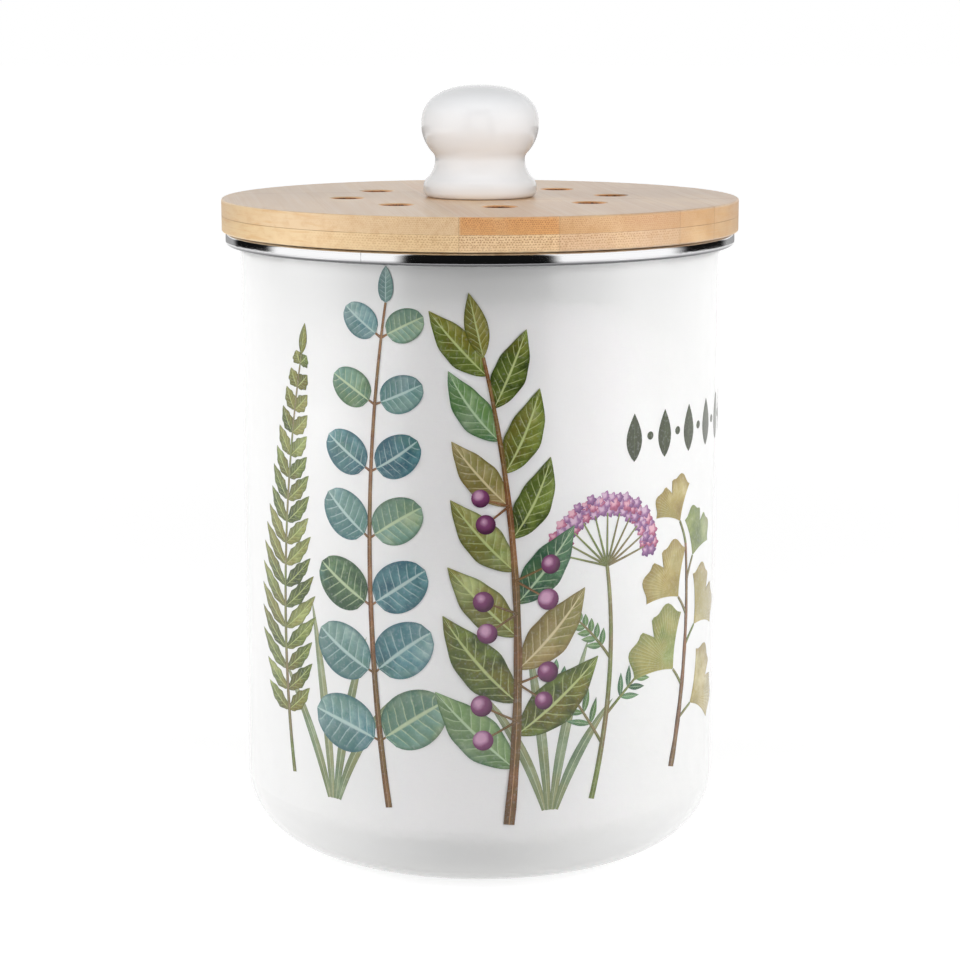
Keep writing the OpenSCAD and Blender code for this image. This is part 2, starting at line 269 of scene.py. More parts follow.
# dark cards that only polished surfaces see; "low" and "high" give the distance and height of a card's
# lower and upper side, "soft" is the share of each end that fades out, and a card with a "reach" shows
# only in what stands nearer than that, so in the rim but not in the knob
sideCard = {"low": (0.30, 0.170), "high": (0.30, 0.36), "reach": 0.277}
cards = {
    "cardFront": {"turn": (-37, 36), "turnHigh": (-30, 27), "low": (0.50, 0.002), "high": (0.50, 0.9),
                  "soft": (0.10, 0.10)},
    "cardRight": {**sideCard, "turn": (79, 132), "soft": (0.26, 0.20)},
    "cardLeft": {**sideCard, "turn": (-132, -88), "soft": (0.20, 0.20)},
    "cardBack": {"turn": (112, 248), "low": (0.32, 0.168), "high": (0.32, 0.215), "soft": (0.05, 0.05),
                 "glow": 0.36},
}
cardGlow = 0.006
reachEdge = 0.003


def cardPaint(name, card):
    paint = bpy.data.materials.new(name)
    tree = emptyTree(paint)
    along = split(tree, coords(tree, kind="UV"))[0]
    amount = calc(tree, "MULTIPLY", fade(tree, along, 0.0, card["soft"][0]),
                  fade(tree, along, 1 - card["soft"][1], 1.0, 1.0, 0.0))
    if "reach" in card:
        length = addNode(tree, "ShaderNodeLightPath").outputs["Ray Length"]
        near = fade(tree, length, card["reach"] - reachEdge, card["reach"] + reachEdge, 1.0, 0.0)
        amount = calc(tree, "MULTIPLY", amount, near)
    dark = addNode(tree, "ShaderNodeEmission", Strength=card.get("glow", cardGlow))
    mixOut(tree, amount, addNode(tree, "ShaderNodeBsdfTransparent"), dark)
    return paint


for name, card in cards.items():
    bpy.ops.mesh.primitive_grid_add(x_subdivisions=16, y_subdivisions=1, size=1, calc_uvs=True)
    sheet = bpy.context.object
    sheet.name = name
    for vertex in sheet.data.vertices:
        along, up = vertex.co.x + 0.5, vertex.co.y + 0.5
        turnHigh = card.get("turnHigh", card["turn"])
        ends = [between(low, high, up) for low, high in zip(card["turn"], turnHigh)]
        away, height = (between(low, high, up) for low, high in zip(card["low"], card["high"]))
        vertex.co = onCircle(between(*ends, along), away, height)
    sheet.data.materials.append(cardPaint(name, card))
    sheet.visible_camera = False
    sheet.visible_diffuse = False
    sheet.visible_transmission = False
    sheet.visible_shadow = False
print("studio ready:", len(lamps), "lamps,", len(cards), "cards")


def paintNode(name, material):
    slots = canNodes[name].data.materials
    slots.clear()
    slots.append(material)


enamelLook = {
    "white": (243, 243, 243), "cream": (238, 238, 236), "cloudSize": 14, "cloudAmount": 0.5,
    "footHeight": (0.001, 0.02), "footAmount": 0.8,
    "speckSpacing": 46, "speckEdge": (0.006, 0.013), "speckAmount": 0.35, "speckColour": (120, 118, 112),
    "waveSize": 55, "waveDepth": 0.00022, "peelSize": 420, "peelDepth": 0.000012,
}


def enamelMaterial(look):
    material, tree, shader = newMaterial("enamelWhite", Roughness=0.22, Coat_Weight=1, Coat_Roughness=0.07)
    place = coords(tree)
    height = split(tree, place)[2]
    cloud = calc(tree, "MULTIPLY", noise(tree, place, look["cloudSize"], 3), look["cloudAmount"])
    foot = calc(tree, "MULTIPLY", fade(tree, height, *look["footHeight"], 1.0, 0.0), look["footAmount"])
    creamy = calc(tree, "MAXIMUM", cloud, foot)
    colour = blendColour(tree, creamy, srgb(*look["white"]), srgb(*look["cream"]))
    # a few pin-prick specks of darker ground coat, as fired enamel has
    specks = addNode(tree, "ShaderNodeTexVoronoi", Vector=place, Scale=look["speckSpacing"])
    speck = fade(tree, specks.outputs["Distance"], *look["speckEdge"], 1.0, 0.0)
    speck = calc(tree, "MULTIPLY", speck, look["speckAmount"])
    colour = blendColour(tree, speck, colour, srgb(*look["speckColour"]))
    normal = bump(tree, noise(tree, place, look["waveSize"], 2), look["waveDepth"])
    normal = bump(tree, noise(tree, place, look["peelSize"], 1), look["peelDepth"], normal)
    wire(tree, shader, Base_Color=colour, Normal=normal)
    return material


steelLook = {
    # the dark colour at the band's foot, and the heights it fades over, are painted shade and a painted
    # dark reflection
    "steel": (247, 247, 248), "bandFootShade": (104, 104, 106), "bandFootShadeTo": (0.0004, 0.0017),
    # the seam's place and half width are in degrees
    "seamTurn": -25.4, "seamHalf": 0.14, "seamColour": (96, 94, 92), "seamAmount": 0.25,
    "seamDepth": 0.00003, "lineSize": 2600, "lineSlope": 0.01, "lineDepth": 0.000006,
    "smearSize": 3.0, "smearSquash": 60, "roughness": 0.035, "smearRoughness": 0.10,
}


def steelMaterial(look):
    material, tree, shader = newMaterial("polishedSteel", Metallic=1.0)
    x, y, height = split(tree, coords(tree))
    turn = calc(tree, "ARCTAN2", x, calc(tree, "MULTIPLY", y, -1.0))
    # polishing lines run round the band
    slowTurn = calc(tree, "MULTIPLY", turn, look["lineSlope"])
    lines = noise(tree, joinUp(tree, slowTurn, height, 0.0), look["lineSize"], 3)
    fastHeight = calc(tree, "MULTIPLY", height, look["smearSquash"])
    smear = noise(tree, joinUp(tree, turn, fastHeight, 0.0), look["smearSize"], 3)
    seam = calc(tree, "COMPARE", turn, math.radians(look["seamTurn"]), math.radians(look["seamHalf"]))
    seamTint = calc(tree, "MULTIPLY", seam, look["seamAmount"])
    colour = blendColour(tree, seamTint, srgb(*look["steel"]), srgb(*look["seamColour"]))
    # the band's lower rounding is painted dark, fading out a little above its lower edge: painted shade and
    # a painted dark reflection where the band meets the wall
    footShadeFullBelow, footShadeGoneAbove = (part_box("rim_band")[0][2] + rise for rise in look["bandFootShadeTo"])
    footShadeAmount = fade(tree, height, footShadeFullBelow, footShadeGoneAbove, 1.0, 0.0)
    colour = blendColour(tree, footShadeAmount, colour, srgb(*look["bandFootShade"]))
    normal = bump(tree, lines, look["lineDepth"])
    normal = bump(tree, calc(tree, "SUBTRACT", 1.0, seam), look["seamDepth"], normal)
    roughness = calc(tree, "MULTIPLY_ADD", smear, look["smearRoughness"], look["roughness"])
    wire(tree, shader, Base_Color=colour, Roughness=roughness, Normal=normal)
    return material


glazeLook = {"glaze": (240, 241, 243), "thin": (233, 233, 234), "cloudSize": 60, "cloudAmount": 0.5,
             "waveSize": 90, "waveDepth": 0.00012}


def glazeMaterial(look):
    material, tree, shader = newMaterial("whiteGlaze", Roughness=0.16, Coat_Weight=0.5, Coat_Roughness=0.06)
    place = coords(tree)
    cloud = calc(tree, "MULTIPLY", noise(tree, place, look["cloudSize"], 3), look["cloudAmount"])
    colour = blendColour(tree, cloud, srgb(*look["glaze"]), srgb(*look["thin"]))
    wave = bump(tree, noise(tree, place, look["waveSize"], 2), look["waveDepth"])
    wire(tree, shader, Base_Color=colour, Normal=wave)
    return material


bamboo = {
    "grainTurn": 8.3,  # degrees from straight front to back
    "half": 0.084,  # half the width that the strips share
    "top": (205, 172, 138), "topAmount": 0.8, "topSkin": 0.00005, "faceMargin": 0.0003,
    # strips from left to right: where each ends, its two colours and how strongly its dots show
    "strips": (
        {"to": -0.0183, "upper": (218, 190, 150), "upperEnd": (230, 199, 158),
         "lower": (220, 192, 148), "lowerEnd": (238, 207, 160),
         "upperDots": 0.05, "upperDotsEnd": 0.42, "lowerDots": 0.06, "lowerDotsEnd": 0.60},
        {"to": 0.0117, "upper": (226, 169, 110), "lower": (240, 208, 164),
         "upperDots": 0.85, "lowerDots": 0.80},
        {"to": 0.0519, "upper": (217, 172, 123), "upperEnd": (200, 160, 119),
         "lower": (228, 193, 154), "lowerEnd": (206, 173, 137),
         "upperDots": 0.60, "upperDotsEnd": 0.5, "lowerDots": 0.65, "lowerDotsEnd": 0.45},
        {"to": 0.0659, "upper": (205, 166, 124), "lower": (206, 170, 130),
         "upperDots": 0.35, "lowerDots": 0.30},
        {"to": 0.0842, "upper": (208, 172, 134), "lower": (208, 174, 134),
         "upperDots": 0.15, "lowerDots": 0.15},
    ),
    "streak": (196, 146, 92), "sideStreak": (206, 158, 100), "blotch": (236, 204, 158),
    "streakSize": 420, "sideStreakSize": 900, "blotchSize": 75, "streakDepth": 0.00004,
    "endGrain": (0.60, 0.88),  # from a face along the grain to one that cuts it
    "dotPitch": (0.00088, 0.00075), "dotWander": 1.7, "dotScatter": 0.38, "upperFiner": 0.25,
    "dotReach": (0.40, 0.34), "dotEdge": (-0.04, 0.18), "dotDepth": 0.00005, "wanderSize": 40,
    "upperDot": (172, 96, 44), "lowerDot": (162, 94, 48),
    # the vents' wall colours are raw wood with painted shade of the holes mixed in
    "ventsWithin": 0.06, "ventRawShade": (196, 122, 62), "ventRawShadeSide": (238, 164, 96), "pit": (90, 46, 20),
    "pitSize": 1300, "ventRawShadeAmount": 0.9,
    "glue": (150, 104, 66), "glueHalf": 0.00008, "glueDepth": 0.00006, "jointHalf": 0.00009,
    "jointAmount": 0.4,
    # knuckles: the middle and half width of the strip, and where along the grain they cross it
    "knuckles": ((-0.0513, 0.0328, 0.024), (-0.0033, 0.0149, 0.038), (0.0318, 0.0199, -0.016),
                 (0.0589, 0.0069, 0.030), (0.0750, 0.0089, -0.020)),
    "knuckle": (182, 128, 76), "knuckleEdge": (0.0004, 0.0019), "knuckleAmount": 0.4,
}
stripEdge = 0.0004


def byStrip(tree, side, key):
    # one value or colour for each strip; a strip that changes over its width also has an End
    stops, start = [], 0.0
    for strip in bamboo["strips"]:
        end = 0.5 + strip["to"] / bamboo["half"] / 2
        last = strip.get(key + "End", strip[key])
        for spot, value in ((start + stripEdge, strip[key]), (end - stripEdge, last)):
            stops.append((spot, srgb(*value) if isinstance(value, tuple) else grey(value)))
        start = end
    return ramp(tree, side, stops)


def bambooMaterial():
    material, tree, shader = newMaterial("bamboo", Coat_Weight=0.5, Coat_Roughness=0.28)
    lowerPly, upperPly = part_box("lid_bottom_ply"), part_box("lid_top_ply")
    lidUnder, glueHeight, lidTop = lowerPly[0][2], lowerPly[1][2], upperPly[1][2]
    place = coords(tree, turn=-bamboo["grainTurn"])
    across, along, height = split(tree, place)
    inUpper = calc(tree, "GREATER_THAN", height, glueHeight)
    onTop = calc(tree, "GREATER_THAN", height, lidTop - bamboo["topSkin"])
    side = calc(tree, "MULTIPLY_ADD", across, 0.5 / bamboo["half"], 0.5)
    colour = blendColour(tree, inUpper, byStrip(tree, side, "lower"), byStrip(tree, side, "upper"))
    topAmount = calc(tree, "MULTIPLY", onTop, bamboo["topAmount"])
    colour = blendColour(tree, topAmount, colour, srgb(*bamboo["top"]))

    # how squarely a face cuts the grain: 1 at the front and back of the edge
    grain = math.radians(bamboo["grainTurn"])
    facing = vectorCalc(tree, "DOT_PRODUCT", addNode(tree, "ShaderNodeTexCoord").outputs["Normal"],
                        (math.sin(grain), -math.cos(grain), 0))
    square = calc(tree, "ABSOLUTE", facing)
    endGrain = fade(tree, square, *bamboo["endGrain"])

    # long soft streaks and blotches along the grain
    def drawnOut(acrossShare, alongShare):
        # a small share stretches a pattern that way
        return joinUp(tree, calc(tree, "MULTIPLY", across, acrossShare),
                      calc(tree, "MULTIPLY", along, alongShare), height)

    streak = noise(tree, drawnOut(1.0, 0.06), bamboo["streakSize"], 4, 0.6)
    sideStreak = noise(tree, drawnOut(0.10, 0.08), bamboo["sideStreakSize"], 3, 0.6)
    blotch = noise(tree, drawnOut(1.0, 0.25), bamboo["blotchSize"], 3)
    onSide = calc(tree, "SUBTRACT", 1.0, calc(tree, "MAXIMUM", endGrain, onTop))
    streakAmount = calc(tree, "MULTIPLY_ADD", onTop, -0.16, 0.30)
    streakAmount = calc(tree, "MULTIPLY", fade(tree, streak, 0.42, 0.72), streakAmount)
    colour = blendColour(tree, streakAmount, colour, srgb(*bamboo["streak"]))
    sideAmount = calc(tree, "MULTIPLY", fade(tree, sideStreak, 0.45, 0.70, 0.0, 0.55), onSide)
    colour = blendColour(tree, sideAmount, colour, srgb(*bamboo["sideStreak"]))
    colour = blendColour(tree, fade(tree, blotch, 0.45, 0.75, 0.0, 0.4), colour, srgb(*bamboo["blotch"]))

    # fibre bundles show as staggered dots where the grain ends
    pitchX, pitchZ = bamboo["dotPitch"]
    wander = noise(tree, drawnOut(0.4, 1.0), bamboo["wanderSize"], 2)
    wander = calc(tree, "MULTIPLY", wander, bamboo["dotWander"])
    finer = calc(tree, "MULTIPLY_ADD", inUpper, bamboo["upperFiner"], 1.0)
    cellZ = calc(tree, "MULTIPLY", calc(tree, "MULTIPLY", height, 1 / pitchZ), finer)
    cellX = calc(tree, "MULTIPLY", calc(tree, "MULTIPLY_ADD", across, 1 / pitchX, wander), finer)
    oddRow = calc(tree, "FLOORED_MODULO", calc(tree, "FLOOR", cellZ), 2.0)
    cellX = calc(tree, "MULTIPLY_ADD", oddRow, 0.5, cellX)
    cells = addNode(tree, "ShaderNodeTexVoronoi", Scale=1.0, Randomness=bamboo["dotScatter"])
    cells.voronoi_dimensions = "2D"
    wire(tree, cells, Vector=joinUp(tree, cellX, cellZ, 0.0))
    plyDepth = glueHeight - lidUnder
    inPly = calc(tree, "FRACT", calc(tree, "MULTIPLY_ADD", height, 1 / plyDepth, -lidUnder / plyDepth))
    reach = fade(tree, inPly, 0.1, 1.0, *bamboo["dotReach"])
    dot = fade(tree, calc(tree, "SUBTRACT", reach, cells.outputs["Distance"]), *bamboo["dotEdge"])
    lowerDots, upperDots = byStrip(tree, side, "lowerDots"), byStrip(tree, side, "upperDots")
    strength = blendColour(tree, inUpper, lowerDots, upperDots)
    dotAmount = calc(tree, "MULTIPLY", calc(tree, "MULTIPLY", dot, endGrain), strength)
    dotAmount = calc(tree, "MULTIPLY", dotAmount, fade(tree, inPly, 0.0, 0.9, 0.45, 1.0))
    dotColour = blendColour(tree, inUpper, srgb(*bamboo["lowerDot"]), srgb(*bamboo["upperDot"]))
    colour = blendColour(tree, dotAmount, colour, dotColour)

    # the drilled walls of the vents are raw, browner wood, and are also painted darker as shade inside the
    # holes
    fromAxis = vectorCalc(tree, "LENGTH", joinUp(tree, across, along, 0.0))
    nearMiddle = calc(tree, "LESS_THAN", fromAxis, bamboo["ventsWithin"])
    middle = (lidUnder + lidTop) / 2
    inBoard = calc(tree, "COMPARE", height, middle, lidTop - middle - bamboo["faceMargin"])
    drilled = calc(tree, "MULTIPLY", nearMiddle, inBoard)
    pits = noise(tree, place, bamboo["pitSize"], 2)
    pits = ramp(tree, pits, [(0.42, srgb(*bamboo["pit"])), (0.60, srgb(*bamboo["ventRawShade"]))])
    ventRawShade = blendColour(tree, fade(tree, square, 0.55, 0.93), srgb(*bamboo["ventRawShadeSide"]), pits)
    colour = blendColour(tree, calc(tree, "MULTIPLY", drilled, bamboo["ventRawShadeAmount"]), colour, ventRawShade)

    # glued joints between the plies and between the strips
    line = calc(tree, "COMPARE", height, glueHeight, bamboo["glueHalf"])
    line = calc(tree, "MULTIPLY", line, calc(tree, "MULTIPLY", fade(tree, blotch, 0.3, 0.6, 0.3, 0.9),
                                             fade(tree, square, 0.75, 0.97, 0.9, 0.3)))
    for strip in bamboo["strips"][:-1]:
        joint = calc(tree, "COMPARE", across, strip["to"], bamboo["jointHalf"])
        line = calc(tree, "MAXIMUM", line, calc(tree, "MULTIPLY", joint, bamboo["jointAmount"]))
    colour = blendColour(tree, line, colour, srgb(*bamboo["glue"]))

    # knuckles, the cross bands that each strip has somewhere along its length
    knuckle = 0.0
    for stripMiddle, half, spot in bamboo["knuckles"]:
        inStrip = calc(tree, "COMPARE", across, stripMiddle, half)
        off = calc(tree, "ABSOLUTE", calc(tree, "SUBTRACT", along, spot))
        near = fade(tree, off, *bamboo["knuckleEdge"], 1.0, 0.0)
        knuckle = calc(tree, "MAXIMUM", knuckle, calc(tree, "MULTIPLY", near, inStrip))
    knuckle = calc(tree, "MULTIPLY", knuckle, bamboo["knuckleAmount"])
    colour = blendColour(tree, knuckle, colour, srgb(*bamboo["knuckle"]))

    roughness = calc(tree, "MULTIPLY_ADD", dot, 0.12, calc(tree, "MULTIPLY_ADD", streak, 0.2, 0.30))
    normal = bump(tree, calc(tree, "MULTIPLY", dotAmount, -1.0), bamboo["dotDepth"])
    normal = bump(tree, streak, bamboo["streakDepth"], normal)
    normal = bump(tree, calc(tree, "MULTIPLY", line, -1.0), bamboo["glueDepth"], normal)
    wire(tree, shader, Base_Color=colour, Roughness=roughness, Normal=normal)
    return material


def cloudyColour(tree, place, size, light, dark):
    return blendColour(tree, fade(tree, noise(tree, place, size, 3), 0.3, 0.7), srgb(*dark), srgb(*light))


def mouldedMaterial(name, light, dark, roughness, grainSize=900):
    material, tree, shader = newMaterial(name)
    place = coords(tree)
    grain = noise(tree, place, grainSize, 2)
    wire(tree, shader, Base_Color=cloudyColour(tree, place, 22, light, dark),
         Roughness=calc(tree, "MULTIPLY_ADD", grain, 0.12, roughness), Normal=bump(tree, grain, 0.00003))
    return material


def turnedMetalMaterial(name, light, dark, roughness):
    material, tree, shader = newMaterial(name, Metallic=1.0)
    place = coords(tree)
    rings = noise(tree, joinUp(tree, 0.0, 0.0, split(tree, place)[2]), 5200, 3)
    wire(tree, shader, Base_Color=cloudyColour(tree, place, 130, light, dark),
         Roughness=calc(tree, "MULTIPLY_ADD", rings, 0.2, roughness), Normal=bump(tree, rings, 0.00002))
    return material


feltLook = {"fibre": ((0.30, (20, 20, 22)), (0.62, (48, 48, 51)), (0.80, (84, 84, 88))), "fibreSize": 2400,
            "fibreDepth": 0.0003, "shadow": (22, 22, 24), "clumpSize": 260, "clumpDepth": 0.0005}


def feltMaterial(look):
    material, tree, shader = newMaterial("charcoalFelt", Roughness=0.95, Sheen_Weight=0.25,
                                         Sheen_Roughness=0.6)
    fibre = noise(tree, coords(tree, scale=(1, 0.35, 1)), look["fibreSize"], 3, 0.7)
    clump = noise(tree, coords(tree), look["clumpSize"], 3)
    colour = ramp(tree, fibre, [(spot, srgb(*tint)) for spot, tint in look["fibre"]])
    colour = blendColour(tree, fade(tree, clump, 0.35, 0.7, 0.0, 0.5), colour, srgb(*look["shadow"]))
    normal = bump(tree, fibre, look["fibreDepth"], bump(tree, clump, look["clumpDepth"]))
    wire(tree, shader, Base_Color=colour, Normal=normal)
    return material


enamel = enamelMaterial(enamelLook)
steel = steelMaterial(steelLook)
glaze = glazeMaterial(glazeLook)
bambooWood = bambooMaterial()
filterPlastic = mouldedMaterial("filterPlastic", (226, 226, 220), (216, 216, 209), 0.38)
bucketPlastic = mouldedMaterial("bucketPlastic", (223, 229, 219), (218, 225, 214), 0.30, 600)
sealSilicone = mouldedMaterial("sealSilicone", (228, 228, 222), (218, 218, 210), 0.42, 300)
screwSteel = turnedMetalMaterial("screwSteel", (200, 200, 204), (168, 168, 172), 0.18)
insertBrass = turnedMetalMaterial("insertBrass", (222, 184, 104), (196, 154, 76), 0.2)
felt = feltMaterial(feltLook)

finishes = {
    "canister": enamel, "rim_band": steel,
    "lid_top_ply": bambooWood, "lid_bottom_ply": bambooWood, "lid_plug_ring": bambooWood,
    "lid_seal": sealSilicone,
    "knob_insert": insertBrass, "knob_washer": screwSteel, "knob_screw": screwSteel,
    "filter_holder": filterPlastic, "filter_holder_screws": screwSteel, "filter_cover": filterPlastic,
    "scrap_bucket": bucketPlastic,
}
for name, material in finishes.items():
    paintNode(name, material)
lidNodes = ("lid_top_ply", "lid_bottom_ply", "lid_plug_ring", "lid_seal", "knob_insert", "knob_washer",
            "knob_screw", "filter_holder", "filter_holder_screws")
print("finishes on", len(finishes), "nodes")


def deselectAll():
    if bpy.context.object and bpy.context.object.mode != "OBJECT":
        bpy.ops.object.mode_set(mode="OBJECT")
    bpy.ops.object.select_all(action="DESELECT")


def arc(middle, radius, start, end, steps):
    points = []
    for step in range(steps + 1):
        turn = math.radians(start + (end - start) * step / steps)
        points.append((middle[0] + radius * math.cos(turn), middle[1] + radius * math.sin(turn)))
    return points


def spinProfile(name, profile, material, steps=128, smoothAngle=35, loop=False):
    # profile: (distance from the axis, height) pairs, from axis to axis or, as a loop, round a section
    deselectAll()
    mesh = bpy.data.meshes.new(name)
    edges = [(i, i + 1) for i in range(len(profile) - 1)]
    if loop:
        edges.append((len(profile) - 1, 0))
    mesh.from_pydata([(r, 0, z) for r, z in profile], edges, [])
    piece = bpy.data.objects.new(name, mesh)
    scene.collection.objects.link(piece)
    piece.select_set(True)
    bpy.context.view_layer.objects.active = piece
    bpy.ops.object.mode_set(mode="EDIT")
    bpy.ops.mesh.select_all(action="SELECT")
    bpy.ops.mesh.spin(steps=steps, angle=math.tau, center=(0, 0, 0), axis=(0, 0, 1))
    bpy.ops.mesh.select_all(action="SELECT")
    bpy.ops.mesh.remove_doubles(threshold=0.000002)
    bpy.ops.mesh.normals_make_consistent(inside=False)
    bpy.ops.object.mode_set(mode="OBJECT")
    bpy.ops.object.shade_smooth_by_angle(angle=math.radians(smoothAngle))
    piece.data.materials.append(material)
    return piece


# the polished band: a flattened curve outside, the same curve one sheet further in, and two short lips
rimShape = {"sheet": 0.0004, "squareness": 4.2, "depth": 0.0019, "innerTop": 0.0782, "innerFoot": 0.0791,
            "curveSteps": 32}


def rimProfile(shape):
    low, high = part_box("rim_band")
    middle, half = (low[2] + high[2]) / 2, (high[2] - low[2]) / 2
    centre = high[0] - shape["depth"]
    power = 2 / shape["squareness"]

    def curve(inset, start, end):
        points = []
        for out, up in arc((0, 0), 1, start, end, shape["curveSteps"]):
            out, up = abs(out) ** power, math.copysign(abs(up) ** power, up)
            points.append((centre + (shape["depth"] - inset) * out, middle + (half - inset) * up))
        return points

    sheet = shape["sheet"]
    outside = [(shape["innerTop"], high[2])] + curve(0, 90, -90) + [(shape["innerFoot"], low[2])]
    inside = [(shape["innerFoot"], low[2] + sheet)] + curve(sheet, -90, 90)
    return outside + inside + [(shape["innerTop"], high[2] - sheet)]


rim = spinProfile("steel_rim", rimProfile(rimShape), steel, steps=256, smoothAngle=40, loop=True)
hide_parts("rim_band")
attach(rim, "canister")
print("rim spun:", len(rim.data.polygons), "faces")


# the ceramic knob: heights start at its foot, and "under" is the radius of the ball's lower round
knobShape = {
    "radius": 0.01915, "height": 0.0361, "wideAt": 0.0236, "topPower": 2.35, "topSteps": 28,
    "under": 0.0134, "crease": 0.003, "neck": 0.0146, "footRadius": 0.0185, "footAt": 0.0032,
    "footEdge": 0.0022, "footTop": 0.004, "socket": 0.0052, "socketHeight": 0.015,
}


def knobProfile(shape):
    radius, wideAt, neck, footAt = shape["radius"], shape["wideAt"], shape["neck"], shape["footAt"]
    under, crease, footTop, edge = shape["under"], shape["crease"], shape["footTop"], shape["footEdge"]
    underX, creaseX, footX = radius - under, neck + crease, shape["footRadius"] - footTop
    neckAt = wideAt - math.sqrt((under + crease) ** 2 - (creaseX - underX) ** 2)
    underTurn = math.degrees(math.atan2(neckAt - wideAt, creaseX - underX))
    flare = (neck - footX) ** 2 + (neckAt - footAt) ** 2 - footTop ** 2
    flare = flare / 2 / (footTop + footX - neck)
    flareX = neck + flare
    flareTurn = math.degrees(math.atan2(footAt - neckAt, footX - flareX))
    points = [(0, shape["socketHeight"]), (shape["socket"], shape["socketHeight"]), (shape["socket"], 0)]
    points += arc((shape["footRadius"] - edge, edge), edge, -90, 0, 8)
    points += arc((footX, footAt), footTop, 0, flareTurn + 180, 10)[1:]
    points += arc((flareX, neckAt), flare, flareTurn, -180, 18)[1:]
    points += arc((creaseX, neckAt), crease, 180, underTurn + 180, 8)[1:]
    points += arc((underX, wideAt), under, underTurn, 0, 18)[1:]
    for step in range(1, shape["topSteps"]):
        turn = math.radians(90 * step / shape["topSteps"])
        out = radius * math.cos(turn) ** (2 / shape["topPower"])
        up = (shape["height"] - wideAt) * math.sin(turn) ** (2 / shape["topPower"])
        points.append((out, wideAt + up))
    points.append((0, shape["height"]))
    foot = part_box("knob")[0][2]
    return [(out, up + foot) for out, up in points]


knob = spinProfile("ceramic_knob", knobProfile(knobShape), glaze)
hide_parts("knob")
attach(knob, "lid")
print("knob spun:", len(knob.data.polygons), "faces")


# the charcoal filter, a soft needled disc
feltShape = {"sides": 160, "edge": 0.0014, "edgeSteps": 4, "lump": 0.0005, "lumpSize": 0.006,
             "margin": 0.0001, "flatten": 1.6, "rings": 22, "ringStep": 0.0023}


def selectFlat(piece, least):
    # the faces that lie level, up or down
    bpy.ops.object.mode_set(mode="EDIT")
    bpy.ops.mesh.select_all(action="DESELECT")
    bpy.ops.mesh.select_mode(type="FACE")
    bpy.ops.object.mode_set(mode="OBJECT")
    for face in piece.data.polygons:
        face.select = abs(face.normal.z) > least
    bpy.ops.object.mode_set(mode="EDIT")


def feltDisc(shape):
    low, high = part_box("charcoal_filter")
    deselectAll()
    radius = high[0] - shape["lump"] - shape["margin"]
    depth = high[2] - low[2] - shape["lump"] * shape["flatten"]
    bpy.ops.mesh.primitive_cylinder_add(vertices=shape["sides"], radius=radius, depth=depth,
                                        location=(0, 0, (low[2] + high[2]) / 2), end_fill_type="NGON")
    disc = bpy.context.object
    disc.name = "felt_filter"
    bpy.ops.object.transform_apply(location=True)
    selectFlat(disc, 0.9)
    bpy.ops.mesh.bevel(offset=shape["edge"], segments=shape["edgeSteps"], affect="EDGES")
    selectFlat(disc, 0.999)
    for ring in range(shape["rings"]):
        bpy.ops.mesh.inset(thickness=shape["ringStep"])
    bpy.ops.mesh.select_all(action="DESELECT")
    bpy.ops.object.mode_set(mode="OBJECT")
    cloud = bpy.data.textures.new("feltLumps", "CLOUDS")
    cloud.noise_scale = shape["lumpSize"]
    lumps = disc.modifiers.new("lumps", "DISPLACE")
    lumps.texture = cloud
    lumps.strength = shape["lump"]
    lumps.mid_level = 0.5
    lumps.texture_coords = "LOCAL"
    bpy.ops.object.modifier_apply(modifier="lumps")
    bpy.ops.object.shade_smooth()
    disc.data.materials.append(felt)
    return disc


filterFelt = feltDisc(feltShape)
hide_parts("charcoal_filter")
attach(filterFelt, "filter_cover")
print("felt disc made:", len(filterFelt.data.polygons), "faces")


# the botanical print: thin coloured shapes laid on the wall, each sprig in layers of its own
wall = {"radius": 0.0785, "lift": 0.00002, "layerStep": 0.000008, "thickness": 0.0003}


def onWall(side, up, layer):
    # side: distance round the wall from the front, in metres; up: height
    radius = wall["radius"] + wall["lift"] + wall["layerStep"] * layer
    turn = side / wall["radius"]
    return Vector((radius * math.sin(turn), -radius * math.cos(turn), up))


def painted(piece, material, tone):
    marks = piece.data.attributes.new("tone", "FLOAT", "POINT")
    for mark in marks.data:
        mark.value = tone
    piece.data.materials.append(material)
    return piece


def gridShape(columns, rows, shape, material, layer, tone):
    # shape(along 0..1, across -1..1) gives the flat place (side, up)
    bpy.ops.mesh.primitive_grid_add(x_subdivisions=columns, y_subdivisions=rows, size=1, calc_uvs=True)
    piece = bpy.context.object
    for vertex in piece.data.vertices:
        side, up = shape(vertex.co.x + 0.5, vertex.co.y * 2)
        vertex.co = onWall(side, up, layer)
    return painted(piece, material, tone)


def stepOff(point, turn, reach):
    return point[0] + reach * math.cos(turn), point[1] + reach * math.sin(turn)


lobeDepth = 0.22


def roundShape(middle, radius, material, layer, tone, lobes=0, sides=24):
    bpy.ops.mesh.primitive_circle_add(vertices=sides, radius=1, fill_type="TRIFAN", calc_uvs=True)
    piece = bpy.context.object
    for vertex in piece.data.vertices:
        turn = math.atan2(vertex.co.y, vertex.co.x)
        reach = vertex.co.length * radius * (1 + lobeDepth * math.cos(lobes * turn) * (lobes > 0))
        side, up = stepOff(middle, turn, reach)
        vertex.co = onWall(side, up, layer)
    return painted(piece, material, tone)


# how wide a leaf is along its length, from 0 at the base to 1 at the tip
outlines = {
    "lance": lambda a: math.sin(math.pi * a ** 0.85) ** 0.95,
    "oval": lambda a: math.sqrt(max(0.0, 1 - (2 * a - 1) ** 2)) * (1 - 0.12 * a),
    "egg": lambda a: 1.75 * a ** 0.55 * (1 - a) ** 0.8,
    "blade": lambda a: math.sin(math.pi * min(1.0, 0.12 + a * 0.88)) ** 0.7,
}
leastWidth = 0.015


